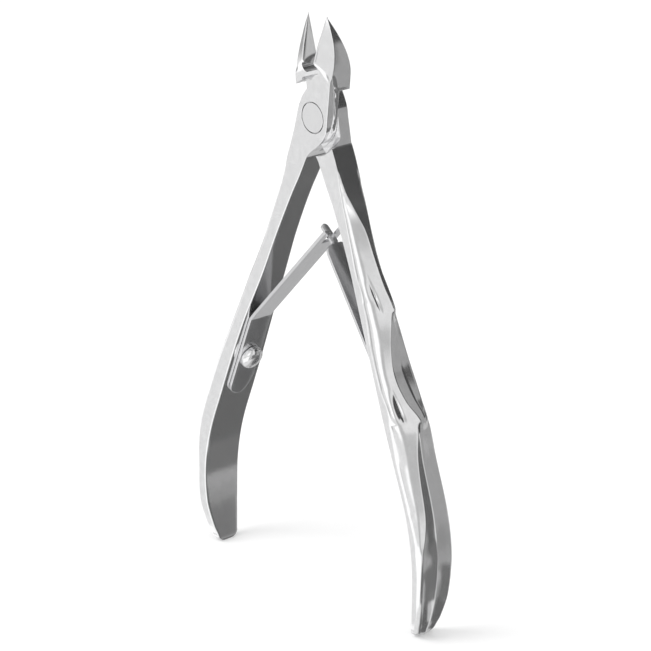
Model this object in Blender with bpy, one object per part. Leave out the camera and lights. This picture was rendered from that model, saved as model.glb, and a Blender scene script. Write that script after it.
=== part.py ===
"""Cuticle nipper: two forged steel halves riveted in a lap joint, with a double leaf spring between the handles.

+Z runs from the handles to the jaws, +X is the right-hand side and the front faces -Y. The origin lies on the
pivot axis, in the flat back face of the lap joint. The nipper is modelled with its jaws open, as the springs
hold it. Lengths below are in millimetres, and each mesh is scaled to metres when it is made.

Each half is described once, as its right-hand handle or right-hand jaw. The front half takes the left handle
and the right jaw, and the back half takes the right handle and the left jaw.
"""

import math

import bmesh
import bpy
from mathutils import Vector

MM = 0.001

# Lap joint
LAP_HALF = 2.55  # half the thickness of the two plates together
MIDDLE_Y = -LAP_HALF  # the plane between the plates
SEAM_GAP = 0.06  # running gap between the plates
OPEN_ANGLE = math.radians(7.23)  # how far each jaw stands from the middle plane at rest
RECESS_RADIUS = 7.1  # the shoulders that each plate turns inside
TOOTH_RADIUS = 6.95  # the top of each plate, under the other half's jaw
TOOTH_EDGE = 0.68  # how far the top of the plate reaches past the middle, on the handle's side

# Edges of the lap plates, as x and height for the right-hand handle
FRONT_RIM = ((6.62, -8.02), (4.96, -3.0), (4.12, 0.2), (3.59, 1.85), (2.78, 3.53), (1.7, 4.98), (0.62, 6.05))
BACK_SHOULDER = ((6.62, -8.02), (6.02, -6.5), (5.2, -4.65))
BACK_RIM = ((5.2, -4.65), (4.45, -1.72), (4.17, 0.2), (3.9, 1.87), (3.3, 3.4), (2.5, 4.74), (0.62, 6.05))
JAW_ROOT = ((-1.1, 7.35), (-4.55, 7.35), (-4.67, 7.16), (-4.22, 2.78))
LOWER_EDGE = ((-3.72, -1.83), (-3.2, -3.08), (-2.4, -4.2), (-1.05, -5.46), (0.68, -6.8), (1.68, -8.02))

# Rivet
HEAD_RADIUS = 2.82
HEAD_DEPTH = 1.1
SHAFT_RADIUS = 1.7
PEEN_RADIUS = 2.3
PEEN_DEPTH = 0.7
RIVET_GAP = 0.08

# Jaws, measured along the middle plane of the closed jaw from the pivot
TIP = 19.15
JAW_FOOT = 6.6
JAW_WIDTH = 3.6  # from the cutting edge to the outer ridge, at its widest
JAW_WIDEST = 9.5
JAW_DEPTH = 2.53  # from the middle plane to the front and the back of the jaw, next to the plate
WIDTH_POWER = 1.7  # how the width falls off towards the tip
ROOT_WIDENING = 0.045  # extra width for each millimetre below the widest place
TIP_FORWARD = 1.33  # how far the tip stands in front of the middle plane
EDGE_SLOPE = 0.432
EDGE_CURVE = 0.0164
RIDGE_FORWARD = 1.27  # how far the outer ridge stands in front of the middle plane, near the tip
RIDGE_RISE_START = 15.5  # below this the ridge comes forward, over RIDGE_RISE, to the front of the plate
RIDGE_RISE = 8.6
BACK_TAPER = 10.4  # length over which the back of the jaw thins towards the tip
TAPER_POWER = 1.6
EDGE_LAND = 0.02  # half the gap between the closed cutting edges
HOLLOW = 0.3
RELIEF = 0.88  # how far the inner side leans out towards the back, as a share of the width
LEAST_RELIEF = 0.12  # the share of it that is left below the notch
RELIEF_REACH = 3.0
KEEL_FOOT = 10.8  # where the raised front of the jaw ends, at the cutting edge
KEEL_FOOT_OUTSIDE = 8.9  # and at the outer ridge
COVE_FOOT = 6.95  # where the cove under it runs out into the flat of the plate
NOTCH_CENTRE = 9.45
NOTCH_RADIUS = 0.95

# Handles: height, inner edge, outer edge, half of the depth and height of the outer crest, on the right-hand side
HANDLE = (
    (-8.0, 1.66, 6.60, 2.55, 0.0),
    (-12.0, 3.60, 8.05, 2.55, 0.8),
    (-15.5, 5.45, 9.35, 2.56, 1.2),
    (-20.0, 7.62, 10.75, 2.62, 1.0),
    (-26.0, 10.30, 13.10, 2.80, 0.72),
    (-31.0, 12.30, 15.35, 3.00, 0.76),
    (-35.0, 13.95, 17.15, 3.25, 0.80),
    (-43.0, 17.45, 20.00, 3.85, 0.60),
    (-48.0, 19.45, 22.30, 4.10, 0.68),
    (-54.0, 21.75, 25.20, 4.28, 0.86),
    (-60.0, 24.05, 27.02, 4.32, 0.52),
    (-70.0, 27.75, 30.30, 4.36, 0.30),
    (-78.0, 29.30, 31.66, 4.34, 0.25),
    (-86.0, 29.25, 31.30, 4.00, 0.15),
    (-91.0, 28.35, 30.28, 3.18, 0.10),
    (-93.0, 27.75, 29.55, 2.62, 0.08),
)
HANDLE_END = -94.7
END_ROUNDING = 1.7  # length of the rounded end
END_THICKNESS = 0.4  # shares of the handle's thickness and depth that are left at the very end
END_DEPTH = 0.15
HANDLE_RINGS = 56
OUTER_ROUND = 0.55
INNER_ROUND = 0.2
BLEND = 5.0  # length over which the handle takes its shape below the plate
LEAN = 0.28  # how much thicker the back of the handle is than its middle, just below the lap joint
LEAN_AT = -14.5
LEAN_REACH = 9.0
KNUCKLES = (-34.5, -53.5)
KNUCKLE_REACH = 14.0  # a finger's width
FLUTE = 0.28  # depth of the hollows beside the crest, between knuckles
FLUTE_START = -20.0
FLUTE_FADE = 4.0
END_DRIFT = 0.33  # how far the end curls in, for each millimetre down

# Springs
LEAF = 0.6
LEAF_GAP = 0.06  # between a spring's foot and its handle
LEAF_HALF_WIDTH = 2.65
FOOT_END = -61.5
FOOT_FRONT_ROUND = 2.6  # how far up the foot its rounded end reaches, in front
FOOT_BACK_ROUND = 5.0  # and at the back
FLEX = (16.75, -43.3)  # where the arm leaves the right-hand handle
NEAR_FLEX = ((17.65, -44.55), (17.2, -43.95))  # the start of the bend, below it
LEFT_HINGE = (-12.346, -40.18)  # the line that the bending left arm turns about, level with the middle of the leaf
RIGHT_HINGE = (14.393, -41.071)
FORK_TIP = (3.4, -21.15)  # the left spring reaches past the middle
SHOULDER = (3.6, -23.7)
TONGUE_TIP = (0.2, -20.9)
FORK_SLOT = 1.05  # half the width of the slot
TONGUE = 0.75  # half the width of the tongue
SLOT_LENGTH = 4.2

# Spring screws
SCREW_HEIGHT = -52.7
SCREW_HEAD_RADIUS = 2.38
SCREW_HEAD = 1.85
SCREW_SHANK_RADIUS = 1.0
SCREW_LENGTH = 2.3
SCREW_SLOT = 0.55
SLOT_DEPTH = 0.6
SCREW_CHAMFER = 0.35
SCREW_GAP = 0.06


# Curves


def smooth_through(rows, at):
    """The columns of the rows at one height, on a smooth curve through them."""
    last = len(rows) - 2
    i = next((k for k in range(last + 1) if at >= rows[k + 1][0]), last)
    before, low, high, after = (rows[min(max(k, 0), len(rows) - 1)] for k in (i - 1, i, i + 1, i + 2))
    t = (at - low[0]) / (high[0] - low[0])
    values = []
    for column in range(1, len(low)):
        start = (high[column] - before[column]) / (high[0] - before[0]) * (high[0] - low[0])
        end = (after[column] - low[column]) / (after[0] - low[0]) * (high[0] - low[0])
        jump = high[column] - low[column]
        values.append(
            low[column]
            + start * t
            + (3 * jump - 2 * start - end) * t**2
            + (start + end - 2 * jump) * t**3
        )
    return values


def arc(centre, radius, first, last, steps):
    """Points of an arc, from the first angle to the last, both in degrees."""
    angles = [math.radians(first + (last - first) * k / steps) for k in range(steps + 1)]
    return [(centre[0] + radius * math.cos(a), centre[1] + radius * math.sin(a)) for a in angles]


def curve(points, steps):
    """A smooth open curve through the points."""
    ends = [points[0], *points, points[-1]]
    made = []
    for a, b, c, d in zip(ends, ends[1:], ends[2:], ends[3:]):
        for k in range(steps):
            t = k / steps
            made.append(
                tuple(
                    0.5 * (2 * q + (r - p) * t + (2 * p - 5 * q + 4 * r - s) * t**2 + (3 * q - p - 3 * r + s) * t**3)
                    for p, q, r, s in zip(a, b, c, d)
                )
            )
    return [*made, points[-1]]


def opened(across, up):
    """A point of the closed right jaw, turned to where the open jaw holds it."""
    sin, cos = math.sin(OPEN_ANGLE), math.cos(OPEN_ANGLE)
    return across * cos + up * sin, up * cos - across * sin


# Meshes


def new_object(name, bm, origin=(0, 0, 0)):
    """An object from a mesh in millimetres, with its origin at the given place."""
    bmesh.ops.recalc_face_normals(bm, faces=bm.faces)
    bmesh.ops.translate(bm, verts=bm.verts, vec=-Vector(origin))
    bmesh.ops.scale(bm, verts=bm.verts, vec=(MM, MM, MM))
    mesh = bpy.data.meshes.new(name)
    bm.to_mesh(mesh)
    bm.free()
    obj = bpy.data.objects.new(name, mesh)
    obj.location = Vector(origin) * MM
    bpy.context.scene.collection.objects.link(obj)
    return obj


def loft(name, rings):
    """A closed body through rings of points that all have the same count."""
    bm = bmesh.new()
    rows = [[bm.verts.new(p) for p in ring] for ring in rings]
    for low, high in zip(rows, rows[1:]):
        for k in range(len(low)):
            n = (k + 1) % len(low)
            bm.faces.new((low[k], low[n], high[n], high[k]))
    bm.faces.new(rows[0])
    bm.faces.new(rows[-1])
    return new_object(name, bm)


def prism(name, outline, low_y, high_y):
    """An outline in x and z, drawn out along y."""
    return loft(name, [[(x, y, z) for x, z in outline] for y in (low_y, high_y)])


def turned(name, profile, steps=48):
    """A profile of radius and height, turned about Z."""
    rings = [
        [(r * math.cos(2 * math.pi * k / steps), r * math.sin(2 * math.pi * k / steps), h) for k in range(steps)]
        for r, h in profile
    ]
    return loft(name, rings)


def helper(obj):
    obj.hide_render = True
    obj.display_type = "WIRE"
    return obj


def combine(target, other, operation):
    modifier = target.modifiers.new(other.name, "BOOLEAN")
    modifier.operation = operation
    modifier.solver = "EXACT"
    modifier.object = helper(other)


def steel(name, colour, roughness):
    material = bpy.data.materials.new(name)
    material.use_nodes = True
    shader = material.node_tree.nodes["Principled BSDF"]
    shader.inputs["Base Color"].default_value = (*colour, 1)
    shader.inputs["Metallic"].default_value = 1
    shader.inputs["Roughness"].default_value = roughness
    return material


def finish(obj, material, angle=30):
    obj.data.materials.append(material)
    obj.data.shade_smooth()
    obj.data.set_sharp_from_angle(angle=math.radians(angle))
    return obj


# Handles


def knuckle_wave(z):
    """1 on a knuckle and just below it, falling to 0 a finger's width above it."""
    for knuckle in KNUCKLES:
        if 0 <= z - knuckle < KNUCKLE_REACH:
            return math.cos(math.pi / 2 * (z - knuckle) / KNUCKLE_REACH) ** 2
    return 0.0


def end_share(z):
    """How much of the section is left in the rounded end of the handle."""
    into = (HANDLE_END + END_ROUNDING - z) / END_ROUNDING
    return math.sqrt(max(1 - into**2, 0)) if into > 0 else 1.0


def handle_ring(z, side):
    """The section of a handle at one height: flat inside, rounded outside, with a ridge along the middle."""
    inner, outer, half, crest = smooth_through(HANDLE, max(z, HANDLE[-1][0]))
    if z < HANDLE[-1][0]:
        share = end_share(z)
        drift = END_DRIFT * (HANDLE[-1][0] - z)
        middle = (inner + outer) / 2 - drift
        thick = (outer - inner) / 2 * (END_THICKNESS + (1 - END_THICKNESS) * share)
        inner, outer = middle - thick, middle + thick
        half *= END_DEPTH + (1 - END_DEPTH) * share
    blend = min((HANDLE[0][0] - z) / BLEND, 1)
    lean = LEAN * max(1 - abs(z - LEAN_AT) / LEAN_REACH, 0) * blend
    rounding = min(OUTER_ROUND * (0.2 + 0.8 * blend), 0.45 * (outer - inner), 0.45 * half)
    nick = min(INNER_ROUND, 0.2 * (outer - inner))
    flat = half - rounding
    points = [(inner, -half + nick), (inner + nick, -half)]
    points += arc((outer - lean - rounding, -flat), rounding, -90, 0, 3)
    flute = FLUTE * (1 - knuckle_wave(z)) * min(max((FLUTE_START - z) / FLUTE_FADE, 0), 1)
    for share in (-0.66, -0.33, 0, 0.33, 0.66):
        hollow = flute * math.sin(math.pi * abs(share))
        points.append((outer + lean * share + crest * (1 - abs(share)) - hollow, flat * share))
    points += arc((outer + lean - rounding, flat), rounding, 0, 90, 3)
    points += [(inner + nick, half), (inner, half - nick)]
    return [(side * x, MIDDLE_Y + y, z) for x, y in points]


def handle_body(name, side):
    top, bottom = HANDLE[0][0], HANDLE_END + 0.02
    heights = [top + (bottom + END_ROUNDING - top) * k / HANDLE_RINGS for k in range(HANDLE_RINGS)]
    heights += [bottom + END_ROUNDING * math.cos(math.pi / 2 * k / 7) for k in range(8)]
    return loft(name, [handle_ring(z, side) for z in heights])


# Lap plates


def outer_rim(side):
    """The edge of the plate above its own handle. The back half's has a sharp shoulder under its rounder rim."""
    if side < 0:
        return curve(FRONT_RIM, 4)
    return curve(BACK_SHOULDER, 2)[:-1] + curve(BACK_RIM, 4)


def plate_outline(side):
    """The lap plate of the half whose handle is on the given side and whose jaw is on the other."""
    tooth = math.degrees(math.atan2(TOOTH_RADIUS, -TOOTH_EDGE))
    outline = outer_rim(side)
    outline += arc((0, 0), TOOTH_RADIUS, 180 - tooth, tooth + 3, 4)
    outline += JAW_ROOT
    outline += curve(LOWER_EDGE, 4)
    return [(side * x, z) for x, z in outline]


# Jaws


def jaw_front(share, up, edge, ridge):
    """How far the front of the jaw stands before the middle plane, a share of the way from edge to ridge."""
    keel = edge + (ridge - edge) * share
    foot = KEEL_FOOT + (KEEL_FOOT_OUTSIDE - KEEL_FOOT) * share
    if up >= foot:
        return keel
    down = min((foot - up) / (foot - COVE_FOOT), 1)
    return JAW_DEPTH + (keel - JAW_DEPTH) * (1 - down) ** 2


def jaw_ring(up, side):
    """The section of the jaw at one height: cutting edge in front, ridge outside, hollow inside."""
    from_tip = TIP - up
    edge = TIP_FORWARD + EDGE_SLOPE * from_tip - EDGE_CURVE * from_tip**2
    width = JAW_WIDTH * (1 - (max(up - JAW_WIDEST, 0) / (TIP + EDGE_LAND - JAW_WIDEST)) ** WIDTH_POWER)
    width += ROOT_WIDENING * max(JAW_WIDEST - up, 0)
    forward = (max(RIDGE_RISE_START - up, 0) / RIDGE_RISE) ** TAPER_POWER
    ridge = min(RIDGE_FORWARD + (JAW_DEPTH - RIDGE_FORWARD) * forward, JAW_DEPTH)
    back = JAW_DEPTH - (JAW_DEPTH + TIP_FORWARD) * max(1 - from_tip / BACK_TAPER, 0) ** TAPER_POWER
    points = [(EDGE_LAND + width * s, -jaw_front(s, up, edge, ridge)) for s in (0, 0.25, 0.5, 0.75)]
    points += [(EDGE_LAND + width, -jaw_front(1, up, edge, ridge)), (EDGE_LAND + width * 1.01, (back - ridge) / 2)]
    points += [(EDGE_LAND + width, back - 0.12 * width), (EDGE_LAND + 0.94 * width, back)]
    relief = RELIEF * min(max((up - NOTCH_CENTRE) / RELIEF_REACH + 0.5, LEAST_RELIEF), 1)
    front = -jaw_front(0, up, edge, ridge)
    for t in (0, 0.25, 0.5, 0.75):
        bulge = HOLLOW * 4 * t * (1 - t) * min(width / 2, 1) * relief
        points.append((EDGE_LAND + width * relief * (1 - t) + bulge, back + (front - back) * t))
    ring = []
    for across, forward in points:
        x, z = opened(across, up)
        ring.append((side * x, MIDDLE_Y + forward, z))
    return ring


def jaw_body(name, side):
    steps = 22
    heights = [TIP - (TIP - JAW_FOOT) * (k / steps) ** 1.25 for k in range(steps + 1)]
    heights[0] -= 0.03
    return loft(name, [jaw_ring(up, side) for up in heights])


# The two halves


def about_pivot(obj):
    """Turns a body made along Z so that it lies along the pivot, with its own Z towards the front."""
    obj.rotation_euler = (math.radians(90), 0, 0)
    return obj


def recess(name, to_front):
    """The round space that the other half's plate turns in."""
    seam, beyond = SEAM_GAP / 2, LAP_HALF + 3
    low, high = (-seam, beyond) if to_front else (-beyond, seam)
    body = turned(name, [(RECESS_RADIUS, low), (RECESS_RADIUS, high)], 96)
    body.location = (0, MIDDLE_Y * MM, 0)
    return about_pivot(body)


def rivet_hole(name):
    gap, front, back = RIVET_GAP, LAP_HALF, -LAP_HALF
    profile = [
        (PEEN_RADIUS + gap + 1, back - 1),
        (PEEN_RADIUS + gap, back),
        (SHAFT_RADIUS + gap, back + PEEN_DEPTH),
        (SHAFT_RADIUS + gap, front - HEAD_DEPTH - gap),
        (HEAD_RADIUS + gap, front - HEAD_DEPTH - gap),
        (HEAD_RADIUS + gap, front + 1),
    ]
    body = turned(name, profile, 64)
    body.location = (0, MIDDLE_Y * MM, 0)
    return about_pivot(body)


def notch(name, side):
    """The round notch at the root of the cutting edge."""
    x, z = opened(0, NOTCH_CENTRE)
    body = turned(name, [(NOTCH_RADIUS, -8), (NOTCH_RADIUS, 8)], 32)
    body.location = (side * x * MM, 0, z * MM)
    return about_pivot(body)


def inner_slope(z):
    """The inner edge of the right-hand handle at one height, and the way along it, downwards."""
    inner = smooth_through(HANDLE, z)[0]
    below = smooth_through(HANDLE, z - 1)[0]
    return inner, Vector((below - inner, 0, -1)).normalized()


def screw_frame(side):
    """Where a spring screw enters its handle, and the way out along the screw."""
    inner, down = inner_slope(SCREW_HEIGHT)
    out = Vector((down.z, 0, -down.x))
    out.x *= side
    return Vector((side * inner, MIDDLE_Y, SCREW_HEIGHT)), out


def place_along(obj, point, out):
    obj.location = point * MM
    obj.rotation_euler = out.to_track_quat("Z", "Y").to_euler()
    return obj


def screw_hole(name, side, radius):
    point, out = screw_frame(side)
    body = turned(name, [(radius, -SCREW_LENGTH - 0.15), (radius, 3)], 32)
    return place_along(body, point, out)


def half(name, side, recess_in_front, material):
    """One forging: the handle on the given side, its lap plate, and the jaw on the other side."""
    body = handle_body(name, side)
    combine(body, prism(f"{name}_plate", plate_outline(side), MIDDLE_Y - LAP_HALF, MIDDLE_Y + LAP_HALF), "UNION")
    combine(body, jaw_body(f"{name}_jaw", -side), "UNION")
    combine(body, recess(f"{name}_recess", recess_in_front), "DIFFERENCE")
    combine(body, notch(f"{name}_notch", -side), "DIFFERENCE")
    combine(body, rivet_hole(f"{name}_rivet_hole"), "DIFFERENCE")
    combine(body, screw_hole(f"{name}_screw_hole", side, SCREW_SHANK_RADIUS + SCREW_GAP), "DIFFERENCE")
    return finish(body, material)


def rivet(material):
    front, back = LAP_HALF, -LAP_HALF
    profile = [
        (PEEN_RADIUS, back),
        (SHAFT_RADIUS, back + PEEN_DEPTH),
        (SHAFT_RADIUS, front - HEAD_DEPTH),
        (HEAD_RADIUS, front - HEAD_DEPTH),
        (HEAD_RADIUS, front),
    ]
    body = turned("pivot_rivet", profile, 64)
    body.location = (0, MIDDLE_Y * MM, 0)
    return finish(about_pivot(body), material)


# Springs


def foot_path(side):
    """The middle line of a spring's foot, from its lower end up the handle to where the arm bends away."""
    off = LEAF_GAP + LEAF / 2
    count = 12
    points = []
    for k in range(count):
        z = FOOT_END + (FLEX[1] - 1.5 - FOOT_END) * k / (count - 1)
        inner, down = inner_slope(z)
        points.append((side * (inner + down.z * off), z - down.x * off))
    return points


def along(start, end, count):
    """Points from just after the start to the end."""
    return [tuple(a + (b - a) * k / count for a, b in zip(start, end)) for k in range(1, count + 1)]


def leaf(name, path, edges, side, hinge, material, slot_from=None):
    """A leaf of spring steel along a path of x and z.

    edges gives the y of the leaf's four lane edges at a length along it, and the middle lane is left open from
    slot_from on. The object's origin is on the line about which the arm bends.
    """
    lengths = [0.0]
    for before, after in zip(path, path[1:]):
        lengths.append(lengths[-1] + math.dist(before, after))
    bm = bmesh.new()
    rows = []
    for done, (x, z) in zip(lengths, path):
        lanes = edges(done, lengths[-1])
        rows.append([None if y is None else bm.verts.new((x, MIDDLE_Y + y, z)) for y in lanes])
    for done, low, high in zip(lengths, rows, rows[1:]):
        for lane in range(len(low) - 1):
            corners = (low[lane], low[lane + 1], high[lane + 1], high[lane])
            in_slot = lane == 1 and slot_from is not None and done >= slot_from
            if None not in corners and not in_slot:
                bm.faces.new(corners)
    obj = new_object(name, bm, (hinge[0], MIDDLE_Y, hinge[1]))
    solid = obj.modifiers.new("thickness", "SOLIDIFY")
    solid.thickness = LEAF * MM
    solid.offset = 0
    solid.use_even_offset = True
    combine(obj, screw_hole(f"{name}_hole", side, SCREW_SHANK_RADIUS + SCREW_GAP), "DIFFERENCE")
    return finish(obj, material)


def foot_share(done, rounding):
    """The share of its full width that the foot has, this far from its rounded end."""
    return math.sqrt(max(1 - max(1 - done / rounding, 0) ** 2, 0.01))


def foot_edges(done):
    """The front and back edge of a spring, this far from the end of its foot."""
    front = -LEAF_HALF_WIDTH * foot_share(done, FOOT_FRONT_ROUND)
    back = LEAF_HALF_WIDTH * foot_share(done, FOOT_BACK_ROUND)
    return front, back


def forked(done, total):
    front, back = foot_edges(done)
    return (front, max(front * 0.4, -FORK_SLOT), min(back * 0.4, FORK_SLOT), back)


def tongued(done, total):
    tongue_length = math.dist(SHOULDER, TONGUE_TIP)
    left = total - done
    if left < tongue_length - 0.01:
        half_width = TONGUE * math.sqrt(max(1 - max(1 - left / TONGUE, 0) ** 2, 0.07))
        return (None, -half_width, half_width, None)
    front, back = foot_edges(done)
    corner = min(max(left - tongue_length, 0), 1)
    shoulder = LEAF_HALF_WIDTH - 1 + math.sqrt(1 - (1 - corner) ** 2)
    front, back = max(front, -shoulder), min(back, shoulder)
    return (front, max(front * 0.4, -TONGUE), min(back * 0.4, TONGUE), back)


def spring_path(side, end):
    """The middle line of a spring from the end of its foot to the end of its straight arm."""
    bend = [(side * x, z) for x, z in (*NEAR_FLEX, FLEX)]
    return foot_path(side) + bend + along(bend[-1], end, 16)


def left_spring(material):
    path = spring_path(-1, FORK_TIP)
    length = sum(math.dist(a, b) for a, b in zip(path, path[1:]))
    return leaf("left_spring", path, forked, -1, LEFT_HINGE, material, length - SLOT_LENGTH)


def right_spring(material):
    tongue = [tuple(s + (t - s) * k for s, t in zip(SHOULDER, TONGUE_TIP)) for k in (0.3, 0.6, 0.82, 0.94, 1)]
    return leaf("right_spring", spring_path(1, SHOULDER) + tongue, tongued, 1, RIGHT_HINGE, material)


def screw(name, side, material):
    """A slotted screw: flat under its head, with its top edge chamfered."""
    under = LEAF + 2 * LEAF_GAP
    top = under + SCREW_HEAD
    profile = [
        (SCREW_SHANK_RADIUS * 0.7, -SCREW_LENGTH),
        (SCREW_SHANK_RADIUS, -SCREW_LENGTH + 0.3),
        (SCREW_SHANK_RADIUS, under),
        (SCREW_HEAD_RADIUS - 0.15, under),
        (SCREW_HEAD_RADIUS, under + 0.15),
        (SCREW_HEAD_RADIUS, top - SCREW_CHAMFER),
        (SCREW_HEAD_RADIUS - SCREW_CHAMFER, top),
    ]
    point, out = screw_frame(side)
    body = place_along(turned(name, profile, 40), point, out)
    reach, wide = SCREW_HEAD_RADIUS + 1, SCREW_SLOT / 2
    corners = [(-reach, -wide), (reach, -wide), (reach, wide), (-reach, wide)]
    slot = loft(f"{name}_slot", [[(x, y, z) for x, y in corners] for z in (top - SLOT_DEPTH, top + 1)])
    combine(body, place_along(slot, point, out), "DIFFERENCE")
    return finish(body, material)


def clear_scene():
    for obj in list(bpy.data.objects):
        bpy.data.objects.remove(obj)


def main():
    clear_scene()
    forged = steel("polished_forged_steel", (0.72, 0.72, 0.73), 0.12)
    pin = steel("ground_pin_steel", (0.68, 0.68, 0.69), 0.2)
    spring = steel("spring_steel", (0.45, 0.45, 0.46), 0.2)
    bright = steel("bright_screw_steel", (0.75, 0.75, 0.76), 0.15)
    half("front_half", -1, False, forged)
    half("back_half", 1, True, forged)
    rivet(pin)
    left_spring(spring)
    right_spring(spring)
    screw("left_spring_screw", -1, bright)
    screw("right_spring_screw", 1, bright)


main()
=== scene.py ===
import math

import bmesh
import bpy
from mathutils import Matrix, Vector


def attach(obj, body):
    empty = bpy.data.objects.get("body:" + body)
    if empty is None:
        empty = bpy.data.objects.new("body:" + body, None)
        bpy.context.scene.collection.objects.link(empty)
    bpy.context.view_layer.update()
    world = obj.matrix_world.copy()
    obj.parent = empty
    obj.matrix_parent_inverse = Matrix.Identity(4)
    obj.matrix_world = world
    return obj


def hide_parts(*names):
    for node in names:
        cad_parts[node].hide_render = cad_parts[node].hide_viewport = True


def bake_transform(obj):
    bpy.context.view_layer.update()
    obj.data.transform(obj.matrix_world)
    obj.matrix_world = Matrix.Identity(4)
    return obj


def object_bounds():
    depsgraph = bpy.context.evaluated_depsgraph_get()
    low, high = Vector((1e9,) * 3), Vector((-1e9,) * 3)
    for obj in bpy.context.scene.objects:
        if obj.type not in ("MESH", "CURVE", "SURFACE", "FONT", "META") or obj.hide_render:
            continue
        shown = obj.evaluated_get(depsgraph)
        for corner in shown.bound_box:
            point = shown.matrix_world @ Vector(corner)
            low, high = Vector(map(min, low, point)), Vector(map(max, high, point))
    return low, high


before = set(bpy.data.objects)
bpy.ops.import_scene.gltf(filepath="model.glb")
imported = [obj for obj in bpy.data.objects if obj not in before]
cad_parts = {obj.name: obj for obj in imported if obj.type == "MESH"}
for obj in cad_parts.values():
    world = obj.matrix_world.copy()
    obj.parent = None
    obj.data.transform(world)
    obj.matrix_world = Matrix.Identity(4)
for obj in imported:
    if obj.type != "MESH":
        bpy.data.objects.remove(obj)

# The looks of the cuticle nipper. Lengths are in millimetres until a mesh is made. The pivot axis runs along
# Y through x = 0, z = 0, the lap joint's middle plane is at MIDDLE_Y, and every section is measured from that
# plane. Each half is one surface: its handle, lap plate and jaw are rings of points, joined end to end.

CAD_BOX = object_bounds()
MM = 0.001
SAME_POINT = 0.0002

# Lap joint
LAP_HALF = 2.55
MIDDLE_Y = -LAP_HALF
SEAM = 0.03
OPEN_ANGLE = math.radians(7.23)
RECESS_RADIUS = 7.1
TOOTH_TOP = 7.0
OVERCUT = 3.0
# Radius of the hollow shoulder's foot, by angle in degrees from the handle's side of the joint
SHOULDER_SCOOP = (
    (-95, 7.1), (-84, 7.1), (-80, 6.9), (-70, 6.1), (-60, 5.48), (-45, 4.95), (-36, 5.0), (-28, 5.4),
    (-15, 7.1), (265, 7.1),
)

# Rivet
RIVET_RADIUS = 2.79
RIVET_HOLE = 2.96
RIVET_CHAMFER = 0.06
RIVET_HEAD = 1.2
PEEN_RADIUS = 2.3
PEEN_GAP = 0.07
PEEN_SINK = 0.08
UNDER_FLUSH = 0.006

# Jaws
TIP = 19.14
TIP_GAP = 0.02
JAW_WIDTH = 3.6
JAW_WIDEST = 9.5
JAW_TAPER = 1.7
HEEL_WIDENING = 0.045
TIP_FORWARD = 1.33
EDGE_SLOPE = 0.432
EDGE_CURVE = 0.0164
RIDGE_FORWARD = 1.27
RIDGE_RISE_START = 15.5
RIDGE_RISE = 8.6
RISE_POWER = 1.6
BACK_TAPER = 10.4
TIP_THICKNESS = 0.12
EDGE_LAND = 0.02
HOLLOW = 0.3
RELIEF = 0.88
RELIEF_REACH = 1.5
RELIEF_AT_BACK = 0.94
OUTER_SWELL = 0.012
JAW_ROUND = 0.1
JAW_ROUND_SHARE = 0.12
BEVEL_WIDTH = 0.3
BEVEL_DEPTH = 0.22
KEEL_FOOT = 10.8
KEEL_FOOT_OUTSIDE = 8.9
COVE_FOOT = 6.95
NOTCH_CENTRE = 9.45
NOTCH_RADIUS = 0.95
JAW_START = 5.6
JAW_FULL = 7.0
TOOTH_DIAGONAL = 8.42
TOOTH_REACH = 1.5
TOOTH_LEAN = 0.13
TOOTH_GAP = 0.16
TOOTH_SLOPE = (1.75, 1.62)

# Handles: height, inner edge, outer edge and half depth
HANDLE = (
    (-8.0, 1.66, 6.60, 2.55),
    (-12.0, 3.60, 8.05, 2.55),
    (-15.5, 5.45, 9.3, 2.56),
    (-20.0, 7.62, 10.85, 2.62),
    (-26.0, 10.30, 13.10, 2.80),
    (-31.0, 12.30, 15.35, 3.00),
    (-35.0, 13.95, 17.15, 3.25),
    (-43.0, 17.45, 20.00, 3.85),
    (-48.0, 19.45, 22.30, 4.10),
    (-54.0, 21.75, 25.20, 4.28),
    (-60.0, 24.05, 27.02, 4.32),
    (-70.0, 27.75, 30.30, 4.34),
    (-78.0, 29.30, 31.62, 4.32),
    (-86.0, 29.25, 31.28, 4.00),
    (-91.0, 28.35, 30.26, 3.18),
    (-93.0, 27.75, 29.53, 2.62),
)
HANDLE_TOP = HANDLE[0][0]
HANDLE_END = -94.68
END_ROUNDING = 1.7
END_DRIFT = 0.33
LEAN = 0.28
LEAN_AT = -14.5
LEAN_REACH = 9.0
# Rounding of the long edges
SMALL_ROUND = 0.1
INNER_ROUND = 0.14
BACK_ROUND = 0.45
FRONT_ROUND = 0.3
FRONT_ROUND_BELOW = 1.1
FRONT_ROUND_LESS = 0.75
LEFT_ROUND_SHARE = 0.75

# Lap plate above the handle: height and the two edges, as for the right-hand handle
PLATE_INNER = (
    (-9.6, 2.42), (-8.0, 1.66), (-6.8, 0.68), (-5.46, -1.05), (-4.2, -2.4), (-3.08, -3.2), (-1.83, -3.72),
    (0.48, -3.97), (2.78, -4.22), (5.26, -4.47), (7.16, -4.67), (9.0, -4.86),
)
PLATE_OUTER = (
    (-9.7, 7.18), (-8.0, 6.60), (-3.0, 4.96), (0.2, 4.12), (1.85, 3.59), (3.53, 2.78), (4.98, 1.7),
    (6.05, 0.66), (7.1, 0.6), (9.0, 0.55),
)
SHOULDER_LINE = -4.65
# The channel along the plate's side
GROOVE_DEPTH = 0.3
GROOVE_HALF_WIDTH = 0.5
GROOVE_MIDDLE = 0.62
GROOVE_MIDDLE_HEIGHT = 2.5
GROOVE_LEAN = 0.05
GROOVE_BOW = 0.022
GROOVE_TOP = 9.8
BACK_SHOULDER = ((-9.7, 7.18), (-8.0, 6.60), (-6.5, 6.02), (-4.65, 5.2), (-3.0, 4.4))
BACK_RIM = (
    (-6.3, 5.3), (-4.65, 5.08), (-1.72, 4.55), (0.2, 4.17), (1.87, 3.9), (3.4, 3.3), (4.74, 2.55), (5.6, 1.7),
    (6.3, 0.9), (7.1, 0.6), (9.0, 0.55),
)

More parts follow.
